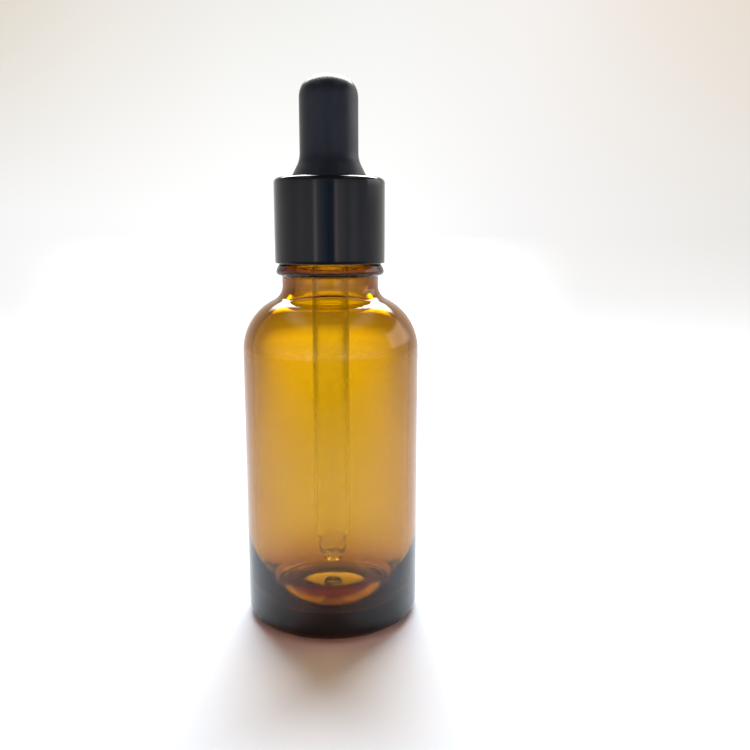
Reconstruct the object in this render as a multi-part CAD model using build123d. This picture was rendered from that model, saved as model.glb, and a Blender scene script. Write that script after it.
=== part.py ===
from build123d import *
import os
from math import atan, cos, hypot, sin, sqrt, tan

# Dropper bottle, 30 ml, amber glass, with a screw-on dropper.
# Millimetres, +Z up.  The origin is on the axis, on the table the bottle stands on.

# ---- bottle: body -------------------------------------------------------------
body_radius = 16.6
wall = 1.9
heel_radius = 2.5
shoulder_start_z = 51.9
shoulder_radius = 10.5
bowl_top_z = 16.0             # below this the inside narrows and the glass gets thick
moat_radius = 10.8            # lowest ring of the inside, round the domed floor
moat_z = 4.2
floor_z = 6.4                 # top of the domed floor, on the axis
push_up_radius = 11.8         # hollow in the underside, inside the ring it stands on
push_up_depth = 1.6

# ---- bottle: neck and finish -----------------------------------------------------
neck_radius = 9.03
neck_root_radius = 2.8        # outside fillet from the shoulder into the neck
neck_bore_radius = 6.6
neck_bore_root_radius = 5.0
bead_bottom_z = 65.75
bead_radius = 10.1
bead_top_radius = 9.75
bead_widest_z = 66.5
bead_top_z = 67.9
finish_radius = 7.95          # plain glass between the turns of the thread
mouth_radius = 6.0
bore_step_z = 68.0
rim_z = 79.0
rim_outer_round = 0.8
rim_inner_round = 0.5

# ---- screw thread: 18 mm finish, right-handed ------------------------------------
thread_pitch = 3.0
glass_thread_radius = 8.9
glass_thread_root_width = 1.9
glass_thread_crest_width = 0.7
glass_thread_start_z = 71.3
glass_thread_start_angle = 30.0
glass_thread_turns = 1.5
insert_bore_radius = 9.05
insert_thread_radius = 8.25
insert_thread_root_width = 1.5
insert_thread_crest_width = 0.6
insert_thread_drop = 1.14     # below the glass thread's centre line: 0.08 mm of play
insert_thread_lag_angle = 12.0   # starts this far round from the glass thread's start
insert_thread_turns = 1.25
thread_embed = 0.25           # how far a ridge's root is sunk into its wall

# ---- closure: metal collar shell over a threaded plastic insert --------------------
collar_radius = 10.25
collar_bottom_z = 68.05
collar_top_z = 83.5
collar_thickness = 0.4
collar_edge_round = 0.9
collar_skirt_round = 0.15
neck_hole_radius = 6.5        # hole through shell and insert that the bulb stands in
press_interference = 0.02
insert_bottom_z = 68.4
insert_ceiling_z = 81.6
insert_lead_in = 0.35

# ---- sealing washer --------------------------------------------------------------------
washer_radius = 8.3
washer_hole_radius = 3.6
washer_thickness = 1.0
washer_edge_round = 0.25

# ---- rubber bulb -------------------------------------------------------------------------
bulb_radius = 5.38
bulb_wall = 1.2
bulb_top_z = 101.75
bulb_dome_height = 4.25        # blunter than a hemisphere
bulb_dome_fullness = 0.65      # how far the dome keeps to its box, 0 to 1
bulb_throat_radius = 3.53
bulb_flange_radius = 8.75
bulb_flange_round = 0.3
bulb_neck_radius = 6.4
bulb_lip_radius = 6.87
bulb_lip_round = 0.18
bulb_lip_height = 0.4
bulb_flare_z = 86.8           # where the flare's slope would meet the barrel
bulb_flare_slope = 0.5        # radius lost per millimetre of height
bulb_flare_blend = 5.0
bulb_cavity_floor_z = 84.25
face_gap = 0.02

# ---- glass pipette ----------------------------------------------------------------------
tube_radius = 3.5
tube_bore_radius = 2.95
tube_top_z = 86.7
tube_bead_radius = 4.1
tube_bead_height = 1.7
tip_bottom_z = 9.7
tip_shoulder_z = 15.6         # where the full-width tube starts to close
tip_waist_radius = 2.78
tip_waist_z = 13.9
tip_round_z = 12.2
tip_end_radius = 1.65             # the small blunt end below the waist
tip_end_height = 1.3
tip_hole_radius = 0.8
tip_hole_length = 1.0
tip_bore_radius = 2.3
tip_bore_end_z = 12.6         # where the bore starts to close towards the hole


def arc_about(centre, start, end):
    """The shorter arc about centre from start to end, all as (radius, height)."""
    size = hypot(start[0] - centre[0], start[1] - centre[1])
    lean = (start[0] + end[0] - 2 * centre[0], start[1] + end[1] - 2 * centre[1])
    scale = size / hypot(*lean)
    middle = (centre[0] + lean[0] * scale, centre[1] + lean[1] * scale)
    return ThreePointArc(start, middle, end)


def cap_arc(start, end):
    """Arc between a point on the axis and an outer point, part of a sphere round the axis."""
    pole, edge = (start, end) if start[0] == 0 else (end, start)
    height = edge[1] - pole[1]
    radius = (edge[0] ** 2 + height**2) / 2 / height
    return arc_about((0, pole[1] + radius), start, end)


def turned(edges):
    """The solid that a closed outline in the (radius, height) plane sweeps round the axis."""
    face = make_face([Plane.XZ * edge for edge in edges])
    return revolve(face, Axis.Z)


def outline(*steps):
    """Edges through steps: a point is joined by a line, an edge is taken as it is."""
    edges = []
    here = None
    for step in steps:
        if isinstance(step, tuple):
            if here is not None and hypot(here[0] - step[0], here[1] - step[1]) > 1e-6:
                edges.append(Line(here, step))
            here = step
        else:
            begin = step @ 0
            if here is not None and hypot(here[0] - begin.X, here[1] - begin.Y) > 1e-6:
                edges.append(Line(here, (begin.X, begin.Y)))
            edges.append(step)
            here = ((step @ 1).X, (step @ 1).Y)
    return edges


def arc_reversed(arc):
    """The same arc, travelled from its far end."""
    return ThreePointArc(arc @ 1, arc @ 0.5, arc @ 0)


def round_corner(corner, into, away, radius):
    """Arc of the given radius in a square corner, reached along into and left along away."""
    start = (corner[0] - into[0] * radius, corner[1] - into[1] * radius)
    end = (corner[0] + away[0] * radius, corner[1] + away[1] * radius)
    centre = (start[0] + away[0] * radius, start[1] + away[1] * radius)
    return arc_about(centre, start, end)


def neck_root(shoulder, neck, fillet):
    """Shoulder arc and neck fillet that touch each other, from the body up to the neck."""
    centre = (body_radius - shoulder_radius, shoulder_start_z)
    reach = shoulder + fillet
    across = neck + fillet - centre[0]
    fillet_centre = (neck + fillet, shoulder_start_z + sqrt(reach**2 - across**2))
    share = shoulder / reach
    touch = (
        centre[0] + (fillet_centre[0] - centre[0]) * share,
        centre[1] + (fillet_centre[1] - centre[1]) * share,
    )
    lower = arc_about(centre, (centre[0] + shoulder, centre[1]), touch)
    upper = arc_about(fillet_centre, touch, (neck, fillet_centre[1]))
    return lower, upper


def thread_ridge(wall_radius, crest_radius, root_width, crest_width, start_z, turns):
    """Helical ridge with a sloping-sided section, standing out of a wall towards its crest."""
    outward = 1 if crest_radius > wall_radius else -1
    root_radius = wall_radius - outward * thread_embed
    flank = (root_width - crest_width) / 2 / abs(crest_radius - wall_radius)
    root_half = root_width / 2 + flank * thread_embed
    crest_half = crest_width / 2
    section = Polyline(
        (root_radius, start_z - root_half),
        (crest_radius, start_z - crest_half),
        (crest_radius, start_z + crest_half),
        (root_radius, start_z + root_half),
        close=True,
    )
    path = Helix(thread_pitch, thread_pitch * turns, wall_radius, center=(0, 0, start_z))
    return sweep(make_face(Plane.XZ * section), path=path, is_frenet=True)


def inner_floor(inner_radius):
    """Curves down the bottle's inside wall into a low ring, and over a dome to the axis."""
    bowl = Bezier(
        (inner_radius, bowl_top_z),
        (inner_radius, bowl_top_z - 6.5),
        (moat_radius + 1.9, moat_z),
        (moat_radius, moat_z),
    )
    dome = Bezier((moat_radius, moat_z), (moat_radius - 3.3, moat_z), (7.0, floor_z), (0, floor_z))
    return bowl, dome


def amber_bottle():
    """Bottle with a heel, a push-up, a rounded shoulder, a bead and a threaded finish."""
    inner_radius = body_radius - wall
    outer_shoulder, outer_root = neck_root(shoulder_radius, neck_radius, neck_root_radius)
    inner_shoulder, inner_root = neck_root(
        shoulder_radius - wall, neck_bore_radius, neck_bore_root_radius
    )
    bead_round = bead_widest_z - bead_bottom_z
    glass = turned(outline(
        (0, floor_z),
        (0, push_up_depth),
        cap_arc((0, push_up_depth), (push_up_radius, 0)),
        (push_up_radius, 0),
        round_corner((body_radius, 0), (1, 0), (0, 1), heel_radius),
        outer_shoulder,
        outer_root,
        (neck_radius, bead_bottom_z),
        round_corner((bead_radius, bead_bottom_z), (1, 0), (0, 1), bead_round),
        (bead_top_radius, bead_top_z - 0.3),
        (bead_top_radius - 0.3, bead_top_z),
        (finish_radius, bead_top_z),
        round_corner((finish_radius, rim_z), (0, 1), (-1, 0), rim_outer_round),
        round_corner((mouth_radius, rim_z), (-1, 0), (0, -1), rim_inner_round),
        (mouth_radius, bore_step_z),
        (neck_bore_radius, bead_bottom_z),
        (neck_bore_radius, (inner_root @ 1).Y),
        arc_reversed(inner_root),
        arc_reversed(inner_shoulder),
        *inner_floor(inner_radius),
    ))
    ridge = thread_ridge(
        finish_radius,
        glass_thread_radius,
        glass_thread_root_width,
        glass_thread_crest_width,
        glass_thread_start_z,
        glass_thread_turns,
    )
    return glass + Rot(0, 0, glass_thread_start_angle) * ridge


def screw_insert():
    """Threaded plastic liner of the closure, with a top wall that holds the bulb's flange."""
    outer = collar_radius - collar_thickness + press_interference
    top_z = collar_top_z - collar_thickness
    inner_round = collar_edge_round - collar_thickness
    liner = turned(outline(
        (insert_bore_radius, insert_bottom_z + insert_lead_in),
        (insert_bore_radius + insert_lead_in, insert_bottom_z),
        (outer, insert_bottom_z),
        round_corner((outer, top_z), (0, 1), (-1, 0), inner_round),
        (neck_hole_radius, top_z),
        (neck_hole_radius, insert_ceiling_z),
        (insert_bore_radius, insert_ceiling_z),
        (insert_bore_radius, insert_bottom_z + insert_lead_in),
    ))
    start_z = glass_thread_start_z - insert_thread_drop
    start_z += thread_pitch * insert_thread_lag_angle / 360
    ridge = thread_ridge(
        insert_bore_radius,
        insert_thread_radius,
        insert_thread_root_width,
        insert_thread_crest_width,
        start_z,
        insert_thread_turns,
    )
    return liner + Rot(0, 0, glass_thread_start_angle + insert_thread_lag_angle) * ridge


def collar_shell():
    """Thin gloss metal cup, open below, with a rounded top edge and a hole for the bulb."""
    inner = collar_radius - collar_thickness
    inner_top = collar_top_z - collar_thickness
    inner_round = collar_edge_round - collar_thickness
    return turned(outline(
        (inner, collar_bottom_z),
        round_corner((collar_radius, collar_bottom_z), (1, 0), (0, 1), collar_skirt_round),
        round_corner((collar_radius, collar_top_z), (0, 1), (-1, 0), collar_edge_round),
        (neck_hole_radius, collar_top_z),
        (neck_hole_radius, inner_top),
        round_corner((inner, inner_top), (1, 0), (0, -1), inner_round),
        (inner, collar_bottom_z),
    ))


def sealing_washer():
    """Flat ring on the bottle's rim, under the bulb's flange, with rounded outer edges."""
    top_z = rim_z + washer_thickness
    return turned(outline(
        (washer_hole_radius, rim_z),
        round_corner((washer_radius, rim_z), (1, 0), (0, 1), washer_edge_round),
        round_corner((washer_radius, top_z), (0, 1), (-1, 0), washer_edge_round),
        (washer_hole_radius, top_z),
        (washer_hole_radius, rim_z),
    ))


def flare_blend():
    """Arc that leaves the bulb's sloping flare and runs into its straight barrel."""
    lean = atan(bulb_flare_slope)
    reach = bulb_flare_blend * tan(lean / 2)
    start = (bulb_radius + reach * sin(lean), bulb_flare_z - reach * cos(lean))
    end = (bulb_radius, bulb_flare_z + reach)
    return arc_about((bulb_radius + bulb_flare_blend, end[1]), start, end)


def bulb_dome(radius, top_z):
    """Corners of the blunt dome's curve, from its widest ring up to the axis."""
    side_z = bulb_top_z - bulb_dome_height
    return (
        (radius, side_z),
        (radius, side_z + (top_z - side_z) * bulb_dome_fullness),
        (radius * bulb_dome_fullness, top_z),
        (0, top_z),
    )


def rubber_bulb():
    """Hollow bulb: dome, barrel, flare, lip over the collar, and a flange held inside it."""
    flange_bottom_z = rim_z + washer_thickness
    flange_top_z = insert_ceiling_z - face_gap
    lip_z = collar_top_z + face_gap
    lip_top_z = lip_z + bulb_lip_height
    cavity_radius = bulb_radius - bulb_wall
    throat_z = bulb_cavity_floor_z - (cavity_radius - bulb_throat_radius)
    return turned(outline(
        (bulb_throat_radius, flange_bottom_z),
        round_corner((bulb_flange_radius, flange_bottom_z), (1, 0), (0, 1), bulb_flange_round),
        round_corner((bulb_flange_radius, flange_top_z), (0, 1), (-1, 0), bulb_flange_round),
        (bulb_neck_radius, flange_top_z),
        (bulb_neck_radius, lip_z),
        round_corner((bulb_lip_radius, lip_z), (1, 0), (0, 1), bulb_lip_round),
        (bulb_radius + (bulb_flare_z - lip_top_z) * bulb_flare_slope, lip_top_z),
        flare_blend(),
        Bezier(*bulb_dome(bulb_radius, bulb_top_z)),
        Bezier(*reversed(bulb_dome(cavity_radius, bulb_top_z - bulb_wall))),
        (cavity_radius, bulb_cavity_floor_z),
        (bulb_throat_radius, throat_z),
        (bulb_throat_radius, flange_bottom_z),
    ))


def glass_pipette():
    """Drawn glass tube: rounded bead at the top, stepped-in blunt tip with a small hole."""
    bead_low_z = tube_top_z - tube_bead_height
    bead_round = tube_bead_height / 2
    bead_centre = (tube_bead_radius - bead_round, tube_top_z - bead_round)
    end_top_z = tip_bottom_z + tip_end_height
    return turned(outline(
        (tip_hole_radius, tip_bottom_z),
        round_corner((tip_end_radius, tip_bottom_z), (1, 0), (0, 1), 0.3),
        (tip_end_radius, end_top_z),
        Bezier(
            (tip_end_radius, end_top_z),
            (tip_end_radius + 0.1, end_top_z + 0.6),
            (tip_waist_radius, tip_round_z - 1.0),
            (tip_waist_radius, tip_round_z),
        ),
        (tip_waist_radius, tip_waist_z),
        Bezier(
            (tip_waist_radius, tip_waist_z),
            (tip_waist_radius, tip_waist_z + 0.9),
            (tube_radius, tip_shoulder_z - 1.1),
            (tube_radius, tip_shoulder_z),
        ),
        (tube_radius, bead_low_z - 0.5),
        (bead_centre[0], bead_low_z),
        ThreePointArc(
            (bead_centre[0], bead_low_z),
            (tube_bead_radius, bead_centre[1]),
            (bead_centre[0], tube_top_z),
        ),
        (tube_bore_radius, tube_top_z),
        (tube_bore_radius, tip_shoulder_z),
        Bezier(
            (tube_bore_radius, tip_shoulder_z),
            (tube_bore_radius, tip_shoulder_z - 1.0),
            (tip_bore_radius, tip_waist_z + 0.8),
            (tip_bore_radius, tip_waist_z),
        ),
        (tip_bore_radius, tip_bore_end_z),
        Bezier(
            (tip_bore_radius, tip_bore_end_z),
            (tip_bore_radius, tip_bore_end_z - 0.9),
            (tip_hole_radius, tip_bottom_z + tip_hole_length + 0.9),
            (tip_hole_radius, tip_bottom_z + tip_hole_length),
        ),
        (tip_hole_radius, tip_bottom_z),
    ))


os.makedirs("parts", exist_ok=True)
for make in (amber_bottle, sealing_washer, glass_pipette, screw_insert, collar_shell, rubber_bulb):
    export_step(make(), f"parts/{make.__name__}.step")
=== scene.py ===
"""Amber dropper bottle: turned glass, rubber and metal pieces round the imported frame.

Everything is in metres in the frame's own axes, +Z up.  Outlines are walked in millimetres from the axis
and the table, and scaled once, in lathe().
"""

import math

import bmesh
import bpy
import numpy as np
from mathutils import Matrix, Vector, noise


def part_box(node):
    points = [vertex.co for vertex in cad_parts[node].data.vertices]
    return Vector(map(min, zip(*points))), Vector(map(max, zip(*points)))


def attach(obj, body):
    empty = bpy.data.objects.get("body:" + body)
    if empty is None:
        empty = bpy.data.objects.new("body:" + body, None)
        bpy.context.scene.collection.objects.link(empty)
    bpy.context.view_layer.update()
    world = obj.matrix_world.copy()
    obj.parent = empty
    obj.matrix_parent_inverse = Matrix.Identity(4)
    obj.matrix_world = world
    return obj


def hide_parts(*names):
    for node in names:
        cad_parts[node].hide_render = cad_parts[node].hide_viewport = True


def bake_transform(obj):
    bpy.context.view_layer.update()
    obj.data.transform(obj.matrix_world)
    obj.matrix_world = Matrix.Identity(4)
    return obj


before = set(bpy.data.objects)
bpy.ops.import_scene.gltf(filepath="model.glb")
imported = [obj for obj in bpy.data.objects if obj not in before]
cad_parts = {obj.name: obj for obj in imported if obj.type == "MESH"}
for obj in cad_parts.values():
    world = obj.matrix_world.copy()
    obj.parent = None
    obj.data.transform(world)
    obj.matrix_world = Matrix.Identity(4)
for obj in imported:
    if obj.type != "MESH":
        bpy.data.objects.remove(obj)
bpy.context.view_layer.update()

MM = 0.001


# ------------------------------------------------------------------------------------------------
# Driving sizes, in millimetres.  The frame gives the heights of tops and feet; the rest is set here.
# ------------------------------------------------------------------------------------------------


def top_of(node):
    """Height of a CAD node's highest point, in millimetres."""
    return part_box(node)[1].z / MM


def foot_of(node):
    """Height of a CAD node's lowest point, in millimetres."""
    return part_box(node)[0].z / MM


BODY_RADIUS = 16.6
RIM_Z = top_of("amber_bottle")
RIM_ROUND = 0.8
RIM_INNER_ROUND = 0.5
WALL = 1.9
HEEL_RADIUS = 2.5
SHOULDER_Z = 51.9
SHOULDER_RADIUS = 10.5
FLOOR_Z = 6.4
MOAT_RADIUS = 10.8
MOAT_Z = 4.2
BOWL_TOP_Z = 16.0
PUSH_UP_RADIUS = 11.8
PUSH_UP_DEPTH = 1.6

NECK_RADIUS = 9.03
NECK_ROOT = 2.8
NECK_BORE = 6.6
NECK_BORE_ROOT = 5.0
BEAD_RADIUS = 10.1
BEAD_TOP_RADIUS = 9.75
BEAD_BOTTOM_Z = 65.75
BEAD_WIDEST_Z = 66.5
BEAD_SHOULDER_Z = 67.55
BEAD_TOP_Z = 67.9
FINISH_RADIUS = 7.95
MOUTH_RADIUS = 6.0
MOUTH_STEP_Z = 68.0

THREAD_PITCH = 3.0
THREAD_HEIGHT = 0.95
THREAD_START_Z = 71.3
THREAD_START_DEG = 30.0
THREAD_TURNS = 1.5
THREAD_ROOT_HALF = 0.95
THREAD_CREST_HALF = 0.35
THREAD_FADE_DEG = 24.0
THREAD_LOW_Z = 70.2            # the thread lies between these, so the rings are close together there
THREAD_HIGH_Z = 76.9
THREAD_RING_STEP = 0.14

RIPPLE_INSIDE = (9.0, 3.1, 0.05)     # waviness of the glass: (feature size, noise seed, depth)
RIPPLE_OUTSIDE = (6.0, 8.7, 0.012)
TICKS = 48                     # round the ring that the bottle stands on
TICK_DEPTH = 0.05

COLLAR_RADIUS = 10.25
COLLAR_FOOT_Z = foot_of("collar_shell")
COLLAR_TOP_Z = top_of("collar_shell")
COLLAR_SHEET = 0.4
COLLAR_ROUND = 0.9
COLLAR_SKIRT_ROUND = 0.15
COLLAR_EDGE = 0.12             # small rounds along the cut edges of the sheet
BULB_HOLE = 6.5

BULB_RADIUS = 5.38
BULB_WALL = 1.2
DOME_HEIGHT = 4.25             # blunter than a hemisphere
DOME_FULLNESS = 0.65           # how far the dome keeps to its box, 0 to 1
BULB_TOP_Z = top_of("rubber_bulb")
BULB_FOOT_Z = foot_of("rubber_bulb")
BULB_FLANGE = 8.75
BULB_FLANGE_ROUND = 0.3
BULB_CEILING_Z = 81.58
BULB_NECK = 6.4
BULB_LIP = 6.87
BULB_LIP_ROUND = 0.18
BULB_LIP_GAP = 0.02
BULB_THROAT = 3.53
CAVITY_FLOOR_Z = 84.25
FLARE_Z = 86.8                 # where the flare's slope would meet the barrel
FLARE_SLOPE = 0.5
FLARE_BLEND = 5.0
MOULD_LINE_DEG = 62.0
MOULD_LINE_HALF = 0.16
MOULD_LINE_RISE = 0.035
MOULD_LINE_INNER = 4.4         # keeps the line off the cavity's wall

TUBE_RADIUS = 3.5
TUBE_BORE = 2.95
TUBE_BEAD = 4.1
TIP_RADIUS = 2.78
TIP_BORE = 2.3
TIP_END = 1.65
TIP_HOLE = 0.8
TIP_HOLE_TOP = 1.0             # heights above the tip's lowest point
TIP_END_TOP = 1.3
TIP_WAIST_FOOT = 2.5
TIP_BORE_FOOT = 2.9
TIP_WAIST_TOP = 4.2
TIP_SHOULDER_TOP = 5.9
TUBE_TOP_Z = top_of("glass_pipette")
TUBE_FOOT_Z = foot_of("glass_pipette")


# ------------------------------------------------------------------------------------------------
# Turned meshes
# ------------------------------------------------------------------------------------------------


class Outline:
    """A closed outline in the (radius, height) plane, walked point by point, in millimetres."""

    def __init__(self, r, z):
        self.points = [(r, z)]

    def line(self, r, z, step=100.0):
        """Straight to (r, z), with a point at least every step."""
        r0, z0 = self.points[-1]
        count = max(1, math.ceil(math.hypot(r - r0, z - z0) / step - 1e-6))
        for i in range(1, count + 1):
            share = i / count
            self.points.append((r0 + (r - r0) * share, z0 + (z - z0) * share))
        return self

    def arc(self, centre, r, z, step_deg=6.0):
        """The shorter way round centre to (r, z)."""
        r0, z0 = self.points[-1]
        size = math.hypot(r0 - centre[0], z0 - centre[1])
        start = math.atan2(z0 - centre[1], r0 - centre[0])
        turn = math.atan2(z - centre[1], r - centre[0]) - start
        turn = (turn + math.pi) % (2 * math.pi) - math.pi
        count = max(2, math.ceil(abs(math.degrees(turn)) / step_deg))
        for i in range(1, count):
            angle = start + turn * i / count
            self.points.append((centre[0] + size * math.cos(angle), centre[1] + size * math.sin(angle)))
        self.points.append((r, z))
        return self

    def round_to(self, r, z, upright_first, step_deg=10.0):
        """Quarter round to (r, z), leaving along the height if upright_first, else along the radius."""
        r0, z0 = self.points[-1]
        centre = (r, z0) if upright_first else (r0, z)
        return self.arc(centre, r, z, step_deg)

    def curve(self, handle_a, handle_b, r, z, count=10):
        """Bezier curve with two handles to (r, z)."""
        start = self.points[-1]
        corners = (start, handle_a, handle_b, (r, z))
        for i in range(1, count + 1):
            t = i / count
            weights = ((1 - t) ** 3, 3 * t * (1 - t) ** 2, 3 * t * t * (1 - t), t**3)
            self.points.append(tuple(sum(w * c[k] for w, c in zip(weights, corners)) for k in (0, 1)))
        return self


def neck_curves(shoulder, neck, fillet):
    """Centres of the shoulder arc and the neck's fillet, and the point where the two arcs touch."""
    centre = (BODY_RADIUS - SHOULDER_RADIUS, SHOULDER_Z)
    reach = shoulder + fillet
    across = neck + fillet - centre[0]
    fillet_centre = (neck + fillet, SHOULDER_Z + math.sqrt(reach**2 - across**2))
    share = shoulder / reach
    touch = tuple(c + (f - c) * share for c, f in zip(centre, fillet_centre))
    return centre, fillet_centre, touch


def lathe(name, outline, segments, shape=None):
    """Mesh object of an outline turned about Z.

    shape(r, z, angle), if given, moves the points: it returns their new radii and heights, in millimetres.
    """
    r, z = np.array(outline.points, float).T
    open_ends = [r[0] < 1e-9, r[-1] < 1e-9]
    angle = np.arange(segments) * 2 * math.pi / segments
    rings = np.repeat(r[:, None], segments, 1), np.repeat(z[:, None], segments, 1)
    turn = np.repeat(angle[None, :], len(r), 0)
    ring_r, ring_z = shape(rings[0], rings[1], turn) if shape else rings
    points = np.stack([ring_r * np.cos(turn), ring_r * np.sin(turn), ring_z], -1).reshape(-1, 3)
    faces = []
    last = len(r) - 1
    for i in range(last if any(open_ends) else last + 1):
        j = (i + 1) % len(r)
        for k in range(segments):
            m = (k + 1) % segments
            a, b, c, d = i * segments + k, i * segments + m, j * segments + m, j * segments + k
            if open_ends[0] and i == 0:
                faces.append((0, c, d))
            elif open_ends[1] and j == last:
                faces.append((a, b, last * segments))
            else:
                faces.append((a, b, c, d))
    mesh = bpy.data.meshes.new(name)
    mesh.from_pydata((points * MM).tolist(), [], faces)
    mesh.validate()
    loose = bpy.data.objects.new(name, mesh)
    bpy.context.scene.collection.objects.link(loose)
    tidy_mesh(mesh)
    return loose


def tidy_mesh(mesh):
    """Drops unused points, turns the faces outward and shades them smooth."""
    work = bmesh.new()
    work.from_mesh(mesh)
    bmesh.ops.delete(work, geom=[v for v in work.verts if not v.link_faces], context="VERTS")
    bmesh.ops.recalc_face_normals(work, faces=work.faces)
    for face in work.faces:
        face.smooth = True
    work.to_mesh(mesh)
    work.free()


def wave(r, z, angle, size, seed):
    """Smooth noise between about -1 and 1 over a turned surface, with features of the given size."""
    x, y = r * np.cos(angle) / size, r * np.sin(angle) / size
    flat = [
        noise.noise(Vector((a, b, c + seed)))
        for a, b, c in zip(x.ravel(), y.ravel(), (z / size).ravel())
    ]
    return np.array(flat).reshape(r.shape)


# ------------------------------------------------------------------------------------------------
# Pieces
# ------------------------------------------------------------------------------------------------


def bottle_outline():
    """Glass section, from the middle of the underside, up the outside, and down the inside."""
    centre, root_centre, touch = neck_curves(SHOULDER_RADIUS, NECK_RADIUS, NECK_ROOT)
    inner, inner_root, inner_touch = neck_curves(SHOULDER_RADIUS - WALL, NECK_BORE, NECK_BORE_ROOT)
    cap_radius = (PUSH_UP_RADIUS**2 + PUSH_UP_DEPTH**2) / 2 / PUSH_UP_DEPTH
    bore = BODY_RADIUS - WALL
    path = Outline(0, PUSH_UP_DEPTH)
    path.arc((0, PUSH_UP_DEPTH - cap_radius), PUSH_UP_RADIUS, 0, 1.0)
    path.line(BODY_RADIUS - HEEL_RADIUS, 0, 0.4)
    path.round_to(BODY_RADIUS, HEEL_RADIUS, False, 6)
    path.line(BODY_RADIUS, SHOULDER_Z, 1.2)
    path.arc(centre, *touch, 4)
    path.arc(root_centre, NECK_RADIUS, root_centre[1], 6)
    path.line(NECK_RADIUS, BEAD_BOTTOM_Z - 0.2, 0.5)
    low, widest, high = BEAD_BOTTOM_Z, BEAD_WIDEST_Z, BEAD_SHOULDER_Z
    top = BEAD_TOP_RADIUS
    path.curve((NECK_RADIUS, low), (NECK_RADIUS + 0.1, low), NECK_RADIUS + 0.32, low + 0.03, 5)
    path.curve((BEAD_RADIUS - 0.3, low + 0.06), (BEAD_RADIUS, widest - 0.4), BEAD_RADIUS, widest, 8)
    path.curve((BEAD_RADIUS, widest + 0.4), (BEAD_RADIUS - 0.2, high - 0.25), top, high, 6)
    path.curve((top - 0.07, high + 0.2), (top - 0.25, BEAD_TOP_Z), top - 0.45, BEAD_TOP_Z, 6)
    path.line(FINISH_RADIUS + 0.3, BEAD_TOP_Z, 0.4)
    path.round_to(FINISH_RADIUS, BEAD_TOP_Z + 0.3, False, 20)
    path.line(FINISH_RADIUS, THREAD_LOW_Z, 0.5)
    path.line(FINISH_RADIUS, THREAD_HIGH_Z, THREAD_RING_STEP)
    path.line(FINISH_RADIUS, RIM_Z - RIM_ROUND, 0.5)
    path.round_to(FINISH_RADIUS - RIM_ROUND, RIM_Z, True)
    path.line(MOUTH_RADIUS + RIM_INNER_ROUND, RIM_Z, 0.3)
    path.round_to(MOUTH_RADIUS, RIM_Z - RIM_INNER_ROUND, False)
    path.line(MOUTH_RADIUS, MOUTH_STEP_Z, 1.0)
    path.curve((MOUTH_RADIUS, MOUTH_STEP_Z - 0.8), (NECK_BORE, low + 0.85), NECK_BORE, low, 8)
    path.line(NECK_BORE, inner_root[1], 0.6)
    path.arc(inner_root, *inner_touch, 6)
    path.arc(inner, bore, SHOULDER_Z, 4)
    path.line(bore, BOWL_TOP_Z, 1.2)
    path.curve((bore, BOWL_TOP_Z - 6.5), (MOAT_RADIUS + 1.9, MOAT_Z), MOAT_RADIUS, MOAT_Z, 20)
    path.curve((MOAT_RADIUS - 3.3, MOAT_Z), (7.0, FLOOR_Z), 0, FLOOR_Z, 24)
    return path


def thread_rise(z, angle):
    """How far the moulded thread stands out of the finish, fading in and out at its two ends."""
    rise = np.zeros_like(z)
    slope = THREAD_HEIGHT / (THREAD_ROOT_HALF - THREAD_CREST_HALF)
    for lap in range(math.ceil(THREAD_TURNS) + 1):
        along = (np.degrees(angle) - THREAD_START_DEG) % 360 + 360 * lap
        off = np.abs(z - THREAD_START_Z - THREAD_PITCH * along / 360)
        body = np.clip((THREAD_ROOT_HALF - off) * slope, 0, THREAD_HEIGHT)
        end = 360 * THREAD_TURNS - along
        fade = np.clip(np.minimum(along, end) / THREAD_FADE_DEG, 0, 1)
        fade = fade * fade * (3 - 2 * fade)
        rise = np.maximum(rise, body * fade)
    return rise


def bottle_shape(r, z, angle):
    """Thread, the slight waviness of blown glass inside and out, and the standing ring's ticks."""
    body = (r > 12) & (z > 2.0) & (z < 62)
    outside = (r > BODY_RADIUS - 0.05) | ((z > SHOULDER_Z) & (r > 8.9))
    finish = (np.abs(r - FINISH_RADIUS) < 1e-6) & (z > THREAD_LOW_Z - 0.7) & (z < THREAD_HIGH_Z + 0.6)
    inside = (r <= BODY_RADIUS - WALL + 0.01) & (z > FLOOR_Z - 0.1) & (z < 62) & ~outside
    moved = r + np.where(finish, thread_rise(z, angle), 0)
    size, seed, depth = RIPPLE_INSIDE
    moved = moved + np.where(inside & (r > 2), wave(r, z, angle, size, seed) * depth, 0)
    size, seed, depth = RIPPLE_OUTSIDE
    moved = moved - np.where(body & outside, np.abs(wave(r, z, angle, size, seed)) * depth, 0)
    ring = (r > PUSH_UP_RADIUS + 0.3) & (r < BODY_RADIUS - HEEL_RADIUS - 0.2) & (z < 0.01)
    tick = np.clip(np.cos(angle * TICKS) * 1.6, 0, 1)
    return moved, z + np.where(ring, tick * TICK_DEPTH, 0)


def make_bottle():
    """Amber bottle, whole: body, neck, bead and threaded finish."""
    piece = lathe("bottle_glass", bottle_outline(), 288, bottle_shape)
    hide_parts("amber_bottle")
    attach(piece, "bottle")
    return piece


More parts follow.
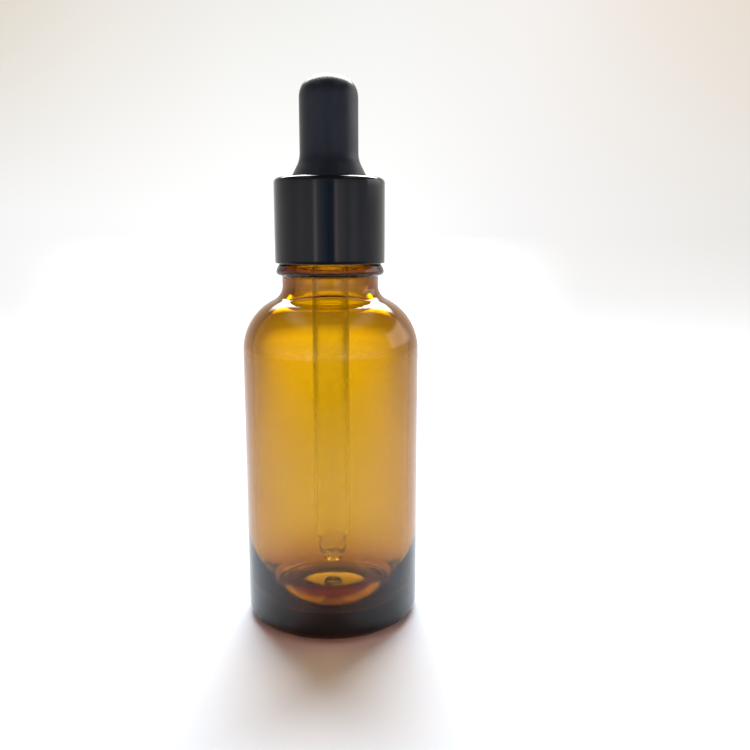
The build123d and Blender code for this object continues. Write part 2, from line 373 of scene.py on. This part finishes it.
def make_pipette():
    """Drawn tube: beaded top, long barrel, stepped-in waist and a fire-polished blunt tip."""
    z = TUBE_FOOT_Z
    top = TUBE_TOP_Z
    end, foot = z + TIP_END_TOP, z + TIP_WAIST_FOOT
    waist, shoulder = z + TIP_WAIST_TOP, z + TIP_SHOULDER_TOP
    bore, hole = z + TIP_BORE_FOOT, z + TIP_HOLE_TOP
    path = Outline(TIP_HOLE, z + 0.12)
    path.curve((TIP_HOLE, z), (TIP_HOLE + 0.1, z), TIP_HOLE + 0.3, z, 4)
    path.curve((TIP_END - 0.2, z), (TIP_END, z + 0.15), TIP_END, z + 0.4, 5)
    path.line(TIP_END, end, 0.25)
    path.curve((TIP_END + 0.1, end + 0.6), (TIP_RADIUS, foot - 1.0), TIP_RADIUS, foot, 12)
    path.line(TIP_RADIUS, waist, 0.5)
    path.curve((TIP_RADIUS, waist + 0.9), (TUBE_RADIUS, shoulder - 1.1), TUBE_RADIUS, shoulder, 10)
    path.line(TUBE_RADIUS, top - 2.2, 1.5)
    path.curve((TUBE_RADIUS, top - 1.7), (TUBE_BEAD, top - 1.9), TUBE_BEAD, top - 0.85, 8)
    path.curve((TUBE_BEAD, top - 0.2), (TUBE_BEAD - 0.4, top), TUBE_BEAD - 0.8, top, 8)
    path.curve((TUBE_BORE + 0.15, top), (TUBE_BORE, top - 0.2), TUBE_BORE, top - 0.7, 6)
    path.line(TUBE_BORE, shoulder, 1.5)
    path.curve((TUBE_BORE, shoulder - 1.0), (TIP_BORE, waist + 0.8), TIP_BORE, waist, 8)
    path.line(TIP_BORE, bore, 0.5)
    path.curve((TIP_BORE, bore - 0.9), (TIP_HOLE, hole + 0.9), TIP_HOLE, hole, 8)
    piece = lathe("pipette_tube", path, 128)
    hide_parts("glass_pipette")
    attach(piece, "pipette")
    return piece


def make_collar():
    """Thin spun cup: outside, rounded top edge, hole for the bulb, and the inside."""
    inner = COLLAR_RADIUS - COLLAR_SHEET
    inner_top = COLLAR_TOP_Z - COLLAR_SHEET
    inner_round = COLLAR_ROUND - COLLAR_SHEET
    path = Outline(inner + COLLAR_EDGE, COLLAR_FOOT_Z)
    path.line(COLLAR_RADIUS - COLLAR_SKIRT_ROUND, COLLAR_FOOT_Z)
    path.round_to(COLLAR_RADIUS, COLLAR_FOOT_Z + COLLAR_SKIRT_ROUND, False, 15)
    path.line(COLLAR_RADIUS, COLLAR_TOP_Z - COLLAR_ROUND, 0.8)
    path.round_to(COLLAR_RADIUS - COLLAR_ROUND, COLLAR_TOP_Z, True, 6)
    path.line(BULB_HOLE + COLLAR_EDGE, COLLAR_TOP_Z, 0.3)
    path.round_to(BULB_HOLE, COLLAR_TOP_Z - COLLAR_EDGE, False, 20)
    path.line(BULB_HOLE, inner_top)
    path.line(inner - inner_round, inner_top, 0.5)
    path.round_to(inner, inner_top - inner_round, False, 15)
    path.line(inner, COLLAR_FOOT_Z + COLLAR_EDGE, 1.0)
    piece = lathe("collar_cup", path, 256)
    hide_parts("collar_shell")
    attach(piece, "closure")
    return piece


def bulb_shape(r, z, angle):
    """A faint moulding line down two sides of the teat, above the collar."""
    shown = (z > COLLAR_TOP_Z + 0.5) & (r > MOULD_LINE_INNER)
    aside = np.sin(angle - math.radians(MOULD_LINE_DEG)) * r
    line = np.exp(-((aside / MOULD_LINE_HALF) ** 2))
    return r + np.where(shown, line * MOULD_LINE_RISE, 0), z


def make_bulb():
    """Rubber teat: from the inner pole down the cavity, round the flange, and up over lip and dome."""
    dome_z = BULB_TOP_Z - DOME_HEIGHT
    inner_z = BULB_TOP_Z - BULB_WALL
    lip_z = COLLAR_TOP_Z + BULB_LIP_GAP
    lean = math.atan(FLARE_SLOPE)
    reach = FLARE_BLEND * math.tan(lean / 2)
    cavity = BULB_RADIUS - BULB_WALL
    path = Outline(0, inner_z)
    bend = dome_z + (inner_z - dome_z) * DOME_FULLNESS
    path.curve((cavity * DOME_FULLNESS, inner_z), (cavity, bend), cavity, dome_z, 16)
    path.line(cavity, CAVITY_FLOOR_Z, 0.8)
    path.line(BULB_THROAT, CAVITY_FLOOR_Z - (cavity - BULB_THROAT), 0.3)
    path.line(BULB_THROAT, BULB_FOOT_Z, 0.6)
    path.line(BULB_FLANGE - BULB_FLANGE_ROUND, BULB_FOOT_Z, 1.0)
    path.round_to(BULB_FLANGE, BULB_FOOT_Z + BULB_FLANGE_ROUND, False, 15)
    path.line(BULB_FLANGE, BULB_CEILING_Z - BULB_FLANGE_ROUND, 0.6)
    path.round_to(BULB_FLANGE - BULB_FLANGE_ROUND, BULB_CEILING_Z, True, 15)
    path.line(BULB_NECK, BULB_CEILING_Z, 0.8)
    path.line(BULB_NECK, lip_z, 0.5)
    path.line(BULB_LIP - BULB_LIP_ROUND, lip_z)
    path.round_to(BULB_LIP, lip_z + BULB_LIP_ROUND, False, 15)
    path.curve((BULB_LIP, lip_z + 0.36), (BULB_LIP - 0.03, lip_z + 0.38), BULB_LIP - 0.11, lip_z + 0.55, 5)
    path.line(BULB_RADIUS + reach * math.sin(lean), FLARE_Z - reach * math.cos(lean), 0.3)
    path.arc((BULB_RADIUS + FLARE_BLEND, FLARE_Z + reach), BULB_RADIUS, FLARE_Z + reach, 2.0)
    path.line(BULB_RADIUS, dome_z, 0.4)
    bend = dome_z + DOME_HEIGHT * DOME_FULLNESS
    path.curve((BULB_RADIUS, bend), (BULB_RADIUS * DOME_FULLNESS, BULB_TOP_Z), 0, BULB_TOP_Z, 32)
    piece = lathe("bulb_teat", path, 192, bulb_shape)
    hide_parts("rubber_bulb")
    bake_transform(piece)
    return piece


bottle = make_bottle()
pipette = make_pipette()
collar = make_collar()
bulb = make_bulb()


# ------------------------------------------------------------------------------------------------
# Materials
# ------------------------------------------------------------------------------------------------


class Nodes:
    """Short calls that add linked nodes to one node tree."""

    def __init__(self, tree):
        self.nodes = tree.nodes
        self.links = tree.links

    def feed(self, socket, value):
        """Sets an input, or links it if the value is another node's output."""
        if isinstance(value, bpy.types.NodeSocket):
            self.links.new(value, socket)
        else:
            socket.default_value = value

    def node(self, kind, settings=None, **inputs):
        """A node with its settings and inputs; an input that is a socket is linked."""
        made = self.nodes.new(kind)
        for key, value in (settings or {}).items():
            setattr(made, key, value)
        for key, value in inputs.items():
            self.feed(made.inputs[key.replace("_", " ")], value)
        return made

    def maths(self, kind, first, second=0.0):
        """One operation of the maths node, on one value or two."""
        made = self.node("ShaderNodeMath", {"operation": kind})
        self.feed(made.inputs[0], first)
        self.feed(made.inputs[1], second)
        return made.outputs["Value"]

    def between(self, share, low, high, start=0.35, stop=0.65, soft=False):
        """A value that runs from low to high as share runs from start to stop, by default noise's range."""
        ramp = self.node("ShaderNodeMapRange", {"interpolation_type": "SMOOTHSTEP" if soft else "LINEAR"})
        self.feed(ramp.inputs["Value"], share)
        for index, value in zip((1, 2, 3, 4), (start, stop, low, high)):
            ramp.inputs[index].default_value = value
        return ramp.outputs["Result"]

    def band(self, value, rise, fall):
        """1 inside a range of value and 0 outside; rise and fall are (start, stop) of its soft edges."""
        rising = self.between(value, 0, 1, *rise, True)
        return self.maths("MULTIPLY", rising, self.between(value, 1, 0, *fall, True))

    def tint(self, share, low, high):
        """A colour that runs from low to high as share runs from 0 to 1."""
        mix = self.node("ShaderNodeMix", {"data_type": "RGBA"})
        self.feed(mix.inputs["Factor"], share)
        for socket, colour in ((mix.inputs["A"], low), (mix.inputs["B"], high)):
            self.feed(socket, colour if isinstance(colour, bpy.types.NodeSocket) else (*colour, 1))
        return mix.outputs["Result"]

    def spectrum(self, value, stops):
        """A colour read off a list of (value, colour) stops; colours may be brighter than 1."""
        span = stops[-1][0] - stops[0][0]
        peak = max(max(colour) for _, colour in stops)
        ramp = self.node("ShaderNodeValToRGB", Fac=self.between(value, 0, 1, stops[0][0], stops[-1][0]))
        marks = ramp.color_ramp.elements
        while len(marks) < len(stops):
            marks.new(1.0)
        for mark, (place, colour) in zip(marks, stops):
            mark.position = (place - stops[0][0]) / span
            mark.color = (*[part / peak for part in colour], 1)
        scale = self.node("ShaderNodeVectorMath", {"operation": "SCALE"}, Scale=peak)
        self.links.new(ramp.outputs["Color"], scale.inputs[0])
        return scale.outputs["Vector"]

    def seen_from_camera(self, vector):
        """A world vector's parts to the right of the camera, away from it, and up."""
        right = self.node(
            "ShaderNodeVectorTransform",
            {"vector_type": "VECTOR", "convert_from": "CAMERA", "convert_to": "WORLD"},
            Vector=(1, 0, 0),
        ).outputs["Vector"]
        ahead = self.node("ShaderNodeVectorMath", {"operation": "CROSS_PRODUCT"})
        self.feed(ahead.inputs[0], (0, 0, 1))
        self.feed(ahead.inputs[1], right)
        parts = []
        for axis in (right, ahead.outputs["Vector"]):
            dot = self.node("ShaderNodeVectorMath", {"operation": "DOT_PRODUCT"})
            self.feed(dot.inputs[0], vector)
            self.feed(dot.inputs[1], axis)
            parts.append(dot.outputs["Value"])
        split = self.node("ShaderNodeSeparateXYZ", Vector=vector)
        return parts[0], parts[1], split.outputs["Z"]


class Recipe(Nodes):
    """A node material with a Principled shader, and short calls for what feeds it."""

    def __init__(self, name, **inputs):
        self.material = bpy.data.materials.new(name)
        self.material.use_nodes = True
        super().__init__(self.material.node_tree)
        self.shader = self.nodes["Principled BSDF"]
        self.output = self.nodes["Material Output"]
        self.set(**inputs)

    def set(self, **inputs):
        """Feeds inputs of the Principled shader."""
        for key, value in inputs.items():
            self.feed(self.shader.inputs[key.replace("_", " ")], value)

    def mottle(self, size_mm, stretch=(1.0, 1.0, 1.0), detail=2.0, roughness=0.5):
        """Noise from 0 to 1 with features of about size_mm, in the piece's own coordinates."""
        where = self.node("ShaderNodeTexCoord").outputs["Object"]
        noise_node = self.node(
            "ShaderNodeTexNoise",
            Vector=self.node("ShaderNodeMapping", Vector=where, Scale=stretch).outputs["Vector"],
            Scale=1 / (size_mm * MM),
            Detail=detail,
            Roughness=roughness,
        )
        return noise_node.outputs["Fac"]

    def bump(self, height, depth_mm, strength=1.0):
        """Bump from a height of 0 to 1 that stands for depth_mm."""
        made = self.node("ShaderNodeBump", Height=height, Strength=strength, Distance=depth_mm * MM)
        self.set(Normal=made.outputs["Normal"])

    def absorb(self, per_metre):
        """Plain absorption inside a closed piece, in each colour, per metre of glass."""
        density = max(per_metre)
        left = [1 - taken / density for taken in per_metre]
        inside = self.node("ShaderNodeVolumeAbsorption", Color=(*left, 1), Density=density)
        self.links.new(inside.outputs["Volume"], self.output.inputs["Volume"])


def amber_glass():
    """Amber glass: the colour is in its depth, and the skin is barely uneven."""
    made = Recipe("amber_glass", Base_Color=(1, 1, 1, 1), IOR=1.52, Transmission_Weight=1.0)
    made.set(Roughness=made.between(made.mottle(7, detail=3), 0.0, 0.02))
    made.bump(made.mottle(11, (1, 1, 0.6), 1.0), 0.03, 0.5)
    made.absorb((205.0, 385.0, 2200.0))
    return made.material


def clear_glass():
    """Drawn tube glass: faint draw lines along its length, and the slightest green in its depth."""
    made = Recipe("clear_glass", Base_Color=(1, 1, 1, 1), IOR=1.5, Transmission_Weight=1.0)
    made.set(Roughness=made.between(made.mottle(3, (1, 1, 0.05)), 0.0, 0.015))
    made.bump(made.mottle(1.2, (1, 1, 0.02), 1.0), 0.004, 0.4)
    made.absorb((8.0, 6.0, 9.0))
    return made.material


def black_rubber():
    """Satin black rubber: fine moulded grain and faint handling marks."""
    made = Recipe("black_rubber", IOR=1.5)
    smear = made.mottle(4.5, (1, 1, 0.5), 4.0)
    made.set(Base_Color=made.tint(made.between(smear, 0, 1), (0.02, 0.022, 0.032), (0.03, 0.033, 0.046)))
    made.set(Roughness=made.between(smear, 0.33, 0.46))
    made.bump(made.mottle(0.12, detail=3.0, roughness=0.6), 0.006, 0.5)
    return made.material


def gloss_black():
    """Black lacquer over spun metal: a clear gloss with long soft unevenness and faint rub marks."""
    made = Recipe("gloss_black", IOR=1.52)
    rub = made.mottle(2.2, (1, 1, 0.5), 4.0)
    made.set(Base_Color=made.tint(made.between(rub, 0, 1), (0.006, 0.006, 0.007), (0.009, 0.009, 0.011)))
    made.set(Roughness=made.between(rub, 0.05, 0.085))
    made.bump(made.mottle(5.0, (1, 1, 0.25), 1.0), 0.01, 0.3)
    return made.material


def black_plastic():
    """Moulded polypropylene: dull, with a fine grain."""
    made = Recipe("black_plastic", IOR=1.49)
    grain = made.mottle(0.5, detail=3.0)
    made.set(Base_Color=made.tint(made.between(grain, 0, 1), (0.013, 0.013, 0.014), (0.02, 0.02, 0.021)))
    made.set(Roughness=made.between(grain, 0.38, 0.52))
    made.bump(grain, 0.01, 0.4)
    return made.material


def white_plastic():
    """Soft polyethylene: waxy white, with light scattered under its skin."""
    made = Recipe("white_plastic", IOR=1.5, Subsurface_Weight=0.25, Subsurface_Scale=0.002)
    grain = made.mottle(0.8, detail=2.0)
    made.set(Base_Color=made.tint(made.between(grain, 0, 1), (0.74, 0.74, 0.7), (0.82, 0.82, 0.79)))
    made.set(Roughness=made.between(grain, 0.4, 0.5))
    made.bump(grain, 0.01, 0.3)
    return made.material


def dress(piece, material):
    """Gives a piece its one material."""
    piece.data.materials.clear()
    piece.data.materials.append(material)


dress(bottle, amber_glass())
dress(pipette, clear_glass())
dress(collar, gloss_black())
dress(bulb, black_rubber())
dress(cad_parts["screw_insert"], black_plastic())
dress(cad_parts["sealing_washer"], white_plastic())


# ------------------------------------------------------------------------------------------------
# Stage: pale floor, soft studio light, camera
# ------------------------------------------------------------------------------------------------


# The sheet, the surroundings and the camera stand still while the object turns, as on a turntable:
# whatever side the camera looks from, the bright sheet is behind the object and the dim room behind
# the camera.  Angles are in degrees, heights from the horizon and sides from straight ahead.

EYE = (0.0084, -0.1506, 0.0732)
TILT_DOWN = 9.96
LENS = 38.24
SENSOR = 36.0

# The backdrop and the room at eye level, as (degrees to the right, radiance), and the same higher up.
LEVEL = (
    (-180, (0.10, 0.16, 0.30)),
    (-166, (0.32, 0.42, 0.55)),
    (-159, (0.62, 0.6, 0.72)),
    (-154, (1.5, 1.35, 1.35)),
    (-148, (0.55, 0.54, 0.62)),
    (-135, (0.5, 0.5, 0.58)),
    (-120, (0.55, 0.55, 0.65)),
    (-105, (0.45, 0.45, 0.5)),
    (-80, (0.5, 0.5, 0.52)),
    (-50, (0.72, 0.71, 0.70)),
    (-25, (0.93, 0.93, 0.93)),
    (-8, (1.06, 1.06, 1.06)),
    (2, (1.02, 1.02, 1.02)),
    (10, (0.94, 0.93, 0.93)),
    (25, (0.83, 0.81, 0.78)),
    (50, (0.72, 0.70, 0.68)),
    (80, (0.5, 0.5, 0.52)),
    (112, (0.42, 0.42, 0.5)),
    (127, (0.62, 0.64, 0.75)),
    (140, (0.42, 0.43, 0.5)),
    (150, (0.6, 0.58, 0.62)),
    (158, (0.7, 0.68, 0.76)),
    (164, (1.25, 1.05, 1.1)),
    (170, (0.12, 0.18, 0.32)),
    (180, (0.10, 0.16, 0.30)),
)
RAISED = (
    (-180, (0.2, 0.22, 0.28)),
    (-110, (0.22, 0.23, 0.27)),
    (-60, (0.4, 0.37, 0.33)),
    (-25, (0.73, 0.67, 0.57)),
    (-18, (0.83, 0.79, 0.73)),
    (-10, (0.88, 0.87, 0.84)),
    (0, (0.91, 0.91, 0.89)),
    (10, (0.92, 0.89, 0.86)),
    (25, (0.81, 0.72, 0.62)),
    (60, (0.4, 0.37, 0.33)),
    (110, (0.22, 0.23, 0.27)),
    (180, (0.2, 0.22, 0.28)),
)
LEVEL_TO_RAISED = (1.5, 15)    # heights between which the one runs into the other
CEILING_FADE = (18, 40)        # and RAISED into the ceiling
CEILING = (0.08, 0.08, 0.085)

BOUNCE_FADE = (-8, 0)          # light off the sheet's far part, below the horizon
BOUNCE_SIDES = (30, 60)
BOUNCE = (0.97, 0.97, 0.97)

GLOW_FADE = (-5, 0)            # the brightest light below the horizon, a little left of straight ahead
GLOW_SIDES = (4, 20)
GLOW_MIDDLE = -5
GLOW = (2.3, 2.3, 2.3)

LAP_FADE = (-7.0, -4.0)        # the lap below the table's edge, on the camera's side
LAP_SIDES = (80, 100)
LAP = (0.07, 0.08, 0.1)

FLANK_REACH = (0.3, 0.5)       # lights high on both sides; the reach is a direction's part to the side
FLANK_RISE = (46, 58)
FLANK = (0.7, 0.7, 0.74)

WINDOW_RISE = (26, 34)         # the large window above the backdrop
WINDOW_FALL = (58, 70)
WINDOW_SIDES = (28, 42)
WINDOW = (18.0, 17.82, 17.46)

PANE_RISE = (2, 7)             # a smaller window on the right
PANE_FALL = (24, 30)
PANE_LEFT_EDGE = (40, 55)
PANE_RIGHT_EDGE = (90, 95)
PANE = (1.7, 1.66, 1.65)


def surroundings():
    """World light: a bright sheet ahead, a large window above it, a smaller one on the right, a dim room."""
    world = bpy.data.worlds.new("studio")
    world.use_nodes = True
    made = Nodes(world.node_tree)
    right, ahead, up = made.seen_from_camera(made.node("ShaderNodeTexCoord").outputs["Generated"])
    to_degrees = 180 / math.pi
    around = made.maths("MULTIPLY", made.maths("ARCTAN2", right, ahead), to_degrees)
    height = made.maths("MULTIPLY", made.maths("ARCSINE", up), to_degrees)
    wing = made.maths("ABSOLUTE", around)

    def ahead_only(sides, soft=False):
        return made.between(wing, 1, 0, *sides, soft)

    low = made.spectrum(around, LEVEL)
    high = made.spectrum(around, RAISED)
    light = made.tint(made.between(height, 0, 1, *LEVEL_TO_RAISED), low, high)
    light = made.tint(made.between(height, 0, 1, *CEILING_FADE, True), light, CEILING)

    bounce = made.maths("MULTIPLY", made.between(height, 1, 0, *BOUNCE_FADE), ahead_only(BOUNCE_SIDES))
    light = made.tint(bounce, light, BOUNCE)

    off = made.maths("ABSOLUTE", made.maths("SUBTRACT", around, GLOW_MIDDLE))
    near = made.between(off, 1, 0, *GLOW_SIDES, True)
    light = made.tint(made.maths("MULTIPLY", made.between(height, 1, 0, *GLOW_FADE), near), light, GLOW)

    behind = made.between(wing, 0, 1, *LAP_SIDES)
    light = made.tint(made.maths("MULTIPLY", made.between(height, 1, 0, *LAP_FADE), behind), light, LAP)

    aside = made.between(made.maths("ABSOLUTE", right), 0, 1, *FLANK_REACH, True)
    flank = made.maths("MULTIPLY", aside, made.between(height, 0, 1, *FLANK_RISE, True))
    light = made.tint(flank, light, FLANK)

    window = made.band(height, WINDOW_RISE, WINDOW_FALL)
    window = made.maths("MULTIPLY", window, ahead_only(WINDOW_SIDES, True))
    light = made.tint(window, light, WINDOW)

    pane = made.band(around, PANE_LEFT_EDGE, PANE_RIGHT_EDGE)
    pane = made.maths("MULTIPLY", made.band(height, PANE_RISE, PANE_FALL), pane)
    light = made.tint(pane, light, PANE)

    made.links.new(light, made.nodes["Background"].inputs["Color"])
    bpy.context.scene.world = world


SHEET_HALF = 1.2               # half the sheet's side, in metres like all its sizes
SHEET_DROP = 0.00005           # keeps the sheet just clear of the ring that the bottle stands on
SHEET_EDGE = (-0.22, -0.21)    # where the sheet ends on the camera's side
SHEET_SHADE = (-0.2, -0.05)    # and where it goes from its dull part, painted shade on the camera's side, to its pale part
SHEET_PALE = (0.6, 0.655, 0.73)
SHEET_PAINTED_SHADE = (0.12, 0.14, 0.18)
SHEET_NEAR = 0.30              # slopes down from the camera, between which the sheet melts away
SHEET_FAR = 0.057


def pale_floor():
    """Matt pale sheet, painted darker as shade on the camera's side, that ends in front of the camera's side
    and melts into the bright backdrop.
    """
    mesh = bpy.data.meshes.new("floor")
    corners = [(x * SHEET_HALF, y * SHEET_HALF, 0) for x, y in ((-1, -1), (1, -1), (1, 1), (-1, 1))]
    mesh.from_pydata(corners, [], [(0, 1, 2, 3)])
    floor = bpy.data.objects.new("floor", mesh)
    bpy.context.scene.collection.objects.link(floor)
    floor.location.z = -SHEET_DROP
    paper = Recipe("floor_paper", Roughness=0.7, Specular_IOR_Level=0.25)
    geometry = paper.node("ShaderNodeNewGeometry").outputs
    ahead = paper.seen_from_camera(geometry["Position"])[1]
    # Painted shade: the sheet's colour turns dull towards the camera, standing for shade on that side.
    paper.set(Base_Color=paper.tint(paper.between(ahead, 1, 0, *SHEET_SHADE), SHEET_PALE, SHEET_PAINTED_SHADE))
    reach = paper.node("ShaderNodeVectorMath", {"operation": "LENGTH"})
    paper.links.new(geometry["Position"], reach.inputs[0])
    slope = paper.maths("DIVIDE", EYE[2], paper.maths("ADD", reach.outputs["Value"], -EYE[1]))
    far = paper.between(slope, 1, 0, SHEET_FAR, SHEET_NEAR, True)
    front = paper.between(ahead, 1, 0, *SHEET_EDGE)
    # Seen from below, the sheet is clear, so the object's underside can be looked at.
    gone = paper.maths("MAXIMUM", paper.maths("MAXIMUM", far, front), geometry["Backfacing"])
    mixed = paper.node("ShaderNodeMixShader", Fac=gone)
    paper.links.new(paper.shader.outputs["BSDF"], mixed.inputs[1])
    paper.links.new(paper.node("ShaderNodeBsdfTransparent").outputs["BSDF"], mixed.inputs[2])
    paper.links.new(mixed.outputs["Shader"], paper.output.inputs["Surface"])
    dress(floor, paper.material)


def photographer():
    """Camera at the height, distance and tilt that the object is seen from."""
    lens = bpy.data.cameras.new("camera")
    lens.lens = LENS
    lens.sensor_width = SENSOR
    lens.clip_start = 0.01
    camera = bpy.data.objects.new("camera", lens)
    camera.location = EYE
    camera.rotation_euler = (math.radians(90 - TILT_DOWN), 0, 0)
    bpy.context.scene.collection.objects.link(camera)
    bpy.context.scene.camera = camera


pale_floor()
surroundings()
photographer()

scene = bpy.context.scene
scene.view_settings.view_transform = "Standard"
scene.cycles.blur_glossy = 0.0
scene.cycles.max_bounces = 32
scene.cycles.transmission_bounces = 32
scene.cycles.glossy_bounces = 8
scene.cycles.diffuse_bounces = 4
scene.cycles.transparent_max_bounces = 16
